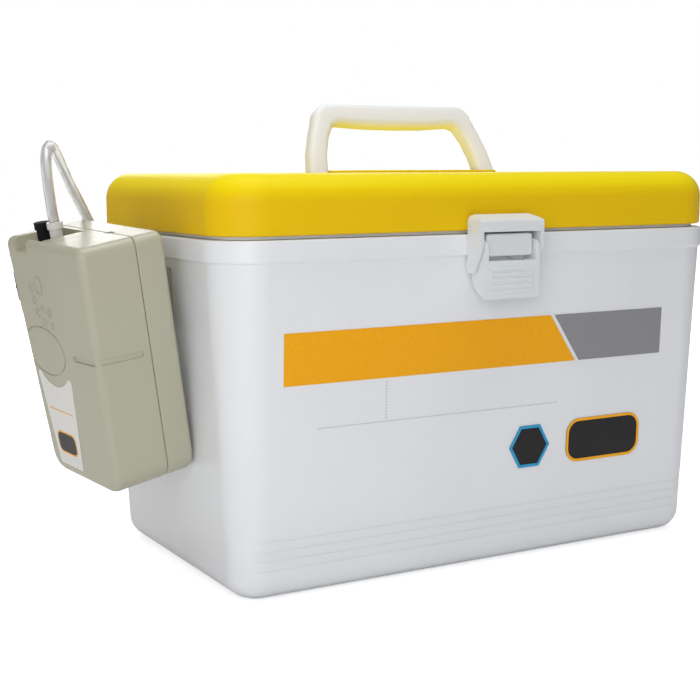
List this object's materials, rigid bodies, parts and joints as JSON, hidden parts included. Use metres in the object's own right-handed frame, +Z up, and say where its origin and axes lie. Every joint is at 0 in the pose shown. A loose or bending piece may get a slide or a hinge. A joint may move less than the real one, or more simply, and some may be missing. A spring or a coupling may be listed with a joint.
{
  "type": "insulated bait box with battery aerator",
  "caption": "Rectangular insulated bait box with a hinged lid, folding carry handle, draw latch and a clip-on battery aerator with a looped airline.",
  "frame": {"origin": "centre of the underside of the box, on the surface that it stands on", "axes": "+X along the box, away from the aerator; +Y to the hinge side; +Z up"},
  "size_m": [0.5401, 0.2935, 0.3548],
  "materials": {
    "white_shell": "satin",
    "white_liner": "satin",
    "foam": "matte",
    "white_latch": "satin",
    "steel": "satin",
    "grommet_rubber": "matte",
    "clear_hose": "gloss",
    "stone": "matte",
    "print_orange": "satin",
    "print_grey": "satin",
    "print_badge": "satin",
    "bracket_plastic": "matte",
    "housing_plastic": "matte",
    "label": "satin",
    "cell": "satin",
    "dark_plastic": "matte",
    "contact_brass": "satin",
    "lead_rubber": "satin",
    "rotor_brass": "satin",
    "clear_plastic": "gloss",
    "switch_plastic": "satin",
    "yellow_shell": "satin",
    "handle_plastic": "satin"
  },
  "bodies": {
    "cooler": {"outer_shell": "white_shell", "inner_liner": "white_liner", "body_foam": "foam", "hinge_body_leaves": "white_shell", "hinge_pins": "steel", "hinge_body_screws": "steel", "latch_base": "white_latch", "latch_lever_pin": "steel", "airline_grommets": "grommet_rubber", "airline_tube": "clear_hose", "air_stone": "stone", "stripe_main": "print_orange", "stripe_end": "print_grey", "badges": "print_badge", "aerator_bracket": "bracket_plastic", "bracket_screws": "steel", "aerator_back_cover": "housing_plastic", "aerator_front_housing": "housing_plastic", "housing_screws": "steel", "aerator_label": "label", "battery_cells": "cell", "battery_tray": "dark_plastic", "battery_contacts": "contact_brass", "wiring": "lead_rubber", "motor_can": "steel", "pump_head": "dark_plastic", "pump_diaphragm": "grommet_rubber", "outlet_hose": "clear_hose", "air_manifold": "dark_plastic", "outlet_connector": "clear_plastic", "spare_outlet_cap": "grommet_rubber", "switch_body": "switch_plastic"},
    "lid": {"lid_shell": "yellow_shell", "lid_foam": "foam", "lid_liner": "white_liner", "lid_catch": "yellow_shell", "hinge_lid_leaves": "white_shell", "hinge_lid_screws": "steel", "handle_pins": "steel"},
    "handle": {"carry_handle": "handle_plastic"},
    "lever": {"latch_lever": "white_latch"},
    "loop": {"latch_loop": "white_latch", "latch_loop_pins": "white_latch"},
    "rocker": {"switch_rocker": "switch_plastic"},
    "rotor": {"motor_rotor": "rotor_brass"}
  },
  "joints": [
    {"name": "lid_hinge", "type": "hinge", "parent": "cooler", "child": "lid", "pos_m": [0, 0.1381, 0.25625], "axis": [-1, 0, 0], "range_deg": [0, 100]},
    {"name": "handle_fold", "type": "hinge", "parent": "lid", "child": "handle", "pos_m": [0, 0, 0.2895], "axis": [1, 0, 0], "range_deg": [0, 112]},
    {"name": "latch_lever_pivot", "type": "hinge", "parent": "cooler", "child": "lever", "pos_m": [0, -0.141, 0.2465], "axis": [-1, 0, 0], "range_deg": [0, 115]},
    {"name": "latch_loop_pivot", "type": "hinge", "parent": "lever", "child": "loop", "pos_m": [0, -0.1363, 0.232], "axis": [1, 0, 0], "range_deg": [0, 115]},
    {"name": "switch_rock", "type": "hinge", "parent": "cooler", "child": "rocker", "pos_m": [-0.30455, 0.03624, 0.2198], "axis": [-0.9757, -0.1198, -0.1833], "range_deg": [0, 40]},
    {"name": "pump_spin", "type": "hinge", "parent": "cooler", "child": "rotor", "pos_m": [-0.27895, -0.04521, 0.20826], "axis": [-0.1297, 0.9906, 0.0429], "continuous": true}
  ],
  "couplings": [
    {"joint": "latch_loop_pivot", "follows": "latch_lever_pivot", "ratio": 1}
  ]
}
